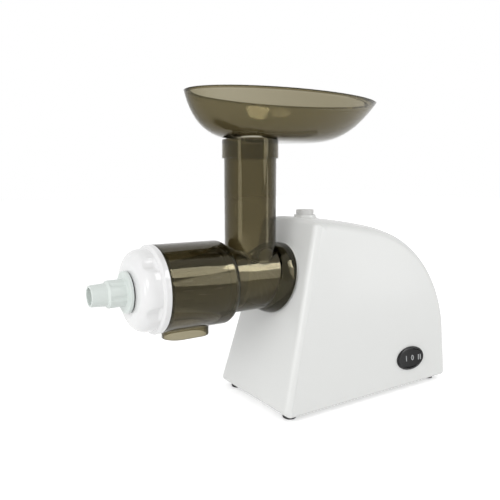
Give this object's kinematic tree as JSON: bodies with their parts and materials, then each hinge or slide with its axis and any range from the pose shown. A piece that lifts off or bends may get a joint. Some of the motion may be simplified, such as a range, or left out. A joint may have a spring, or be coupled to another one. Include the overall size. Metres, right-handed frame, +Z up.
{
  "type": "electric tomato press",
  "caption": "White motor body with a smoked press head, feed tube and oval hopper tray, screw nut and fluted pulp nozzle.",
  "frame": {"origin": "middle of the assembly along the press axis, on that axis in plan, at table height under the feet", "axes": "+X along the press axis from the nozzle to the motor's back, +Y to the side without the switch, +Z up"},
  "size_m": [0.4018, 0.1321, 0.317],
  "materials": {
    "housing_white": "glossy moulded ABS",
    "foot_rubber": "moulded rubber",
    "zinc_steel": "zinc plated",
    "spring_steel": "drawn wire",
    "gland_black": "moulded nylon",
    "switch_black": "glossy moulded nylon",
    "switch_grey": "moulded nylon",
    "gearbox_grey": "glass-filled nylon",
    "ground_steel": "ground",
    "sinter_bronze": "sintered bronze",
    "gear_black": "glass-filled nylon",
    "gear_ivory": "moulded acetal",
    "lamination": "stacked steel sheet",
    "magnet_wire": "lacquered copper wire",
    "copper": "turned copper",
    "holder_brass": "stamped brass",
    "carbon": "pressed carbon",
    "capacitor_yellow": "moulded case",
    "terminal_white": "moulded nylon",
    "smoked_plastic": "transparent smoked SAN",
    "seal_silicone": "moulded silicone",
    "auger_white": "moulded acetal",
    "stainless": "stainless steel",
    "nut_white": "glossy moulded ABS",
    "seal_black": "moulded rubber",
    "nozzle_white": "moulded polypropylene"
  },
  "bodies": {
    "base": {"housing_shell": "housing_white", "base_plate": "housing_white", "rubber_feet": "foot_rubber", "base_screws": "zinc_steel", "cord_gland": "gland_black", "button_spring": "spring_steel", "switch_bezel": "switch_black", "switch_body": "switch_grey", "gearbox_cover": "gearbox_grey", "gearbox_case": "gearbox_grey", "gearbox_screws": "zinc_steel", "gear_pins": "ground_steel", "spindle_bushes": "sinter_bronze", "motor_brackets": "zinc_steel", "motor_bolts": "ground_steel", "motor_bearings": "ground_steel", "motor_stator": "lamination", "field_coils": "magnet_wire", "brush_holders": "holder_brass", "carbon_brushes": "carbon", "suppressor_capacitor": "capacitor_yellow", "terminal_block": "terminal_white", "press_head": "smoked_plastic", "head_seal": "seal_silicone", "sieve_cone": "stainless"},
    "button": {"release_button": "housing_white", "latch_plate": "zinc_steel"},
    "rocker": {"switch_rocker": "switch_black"},
    "rotor": {"rotor_shaft": "ground_steel", "rotor_core": "lamination", "rotor_windings": "magnet_wire", "commutator": "copper", "cooling_fan": "gear_black", "motor_pinion": "ground_steel"},
    "idler_low": {"idler_gear_low": "gear_ivory"},
    "idler_high": {"idler_gear_high": "gear_ivory"},
    "drive": {"output_spindle": "ground_steel", "output_gear": "gear_black", "auger_screw": "auger_white", "auger_shaft": "stainless"},
    "nut_slide": {"nut_seal": "seal_black"},
    "nut": {"ring_nut": "nut_white"},
    "nozzle_slide": {"nozzle_ring": "seal_black"},
    "nozzle": {"pulp_nozzle": "nozzle_white"},
    "tray": {"hopper_tray": "smoked_plastic"}
  },
  "joints": [
    {"name": "rotor_spin", "type": "hinge", "parent": "base", "child": "rotor", "pos_m": [0.0249, 0.01475, 0.06976], "axis": [1, 0, 0], "continuous": true},
    {"name": "idler_low_spin", "type": "hinge", "parent": "base", "child": "idler_low", "pos_m": [0.0249, -0.01825, 0.06976], "axis": [1, 0, 0], "continuous": true},
    {"name": "idler_high_spin", "type": "hinge", "parent": "base", "child": "idler_high", "pos_m": [0.0249, 0.012, 0.09297], "axis": [1, 0, 0], "continuous": true},
    {"name": "drive_spin", "type": "hinge", "parent": "base", "child": "drive", "pos_m": [0.0249, 0, 0.134], "axis": [1, 0, 0], "continuous": true},
    {"name": "release_press", "type": "slide", "parent": "base", "child": "button", "axis": [0, 0, -1], "range_m": [0, 0.003], "stiffness_N_per_m": 800, "springref_m": -0.003, "deforming": ["button_spring"]},
    {"name": "switch_rock", "type": "hinge", "parent": "base", "child": "rocker", "pos_m": [0.1381, -0.05973, 0.03517], "axis": [0, 0.0958, 0.9954], "range_deg": [0, 18]},
    {"name": "nut_travel", "type": "slide", "parent": "base", "child": "nut_slide", "axis": [-1, 0, 0], "range_m": [0, 0.00751]},
    {"name": "nut_turn", "type": "hinge", "parent": "nut_slide", "child": "nut", "pos_m": [-0.1451, 0, 0.134], "axis": [-1, 0, 0], "range_deg": [0, 540]},
    {"name": "nozzle_travel", "type": "slide", "parent": "nut", "child": "nozzle_slide", "axis": [-1, 0, 0], "range_m": [0, 0.00901]},
    {"name": "nozzle_turn", "type": "hinge", "parent": "nozzle_slide", "child": "nozzle", "pos_m": [-0.1751, 0, 0.134], "axis": [-1, 0, 0], "range_deg": [0, 1080]},
    {"name": "tray_lift", "type": "slide", "parent": "base", "child": "tray", "axis": [0, 0, 1], "range_m": [0, 0.025]}
  ],
  "couplings": [
    {"joint": "idler_low_spin", "follows": "rotor_spin", "ratio": -0.2},
    {"joint": "idler_high_spin", "follows": "rotor_spin", "ratio": 0.044},
    {"joint": "drive_spin", "follows": "rotor_spin", "ratio": -0.011733},
    {"joint": "nut_travel", "follows": "nut_turn", "m_per_rad": 0.00079577},
    {"joint": "nozzle_travel", "follows": "nozzle_turn", "m_per_rad": 0.00047746}
  ]
}
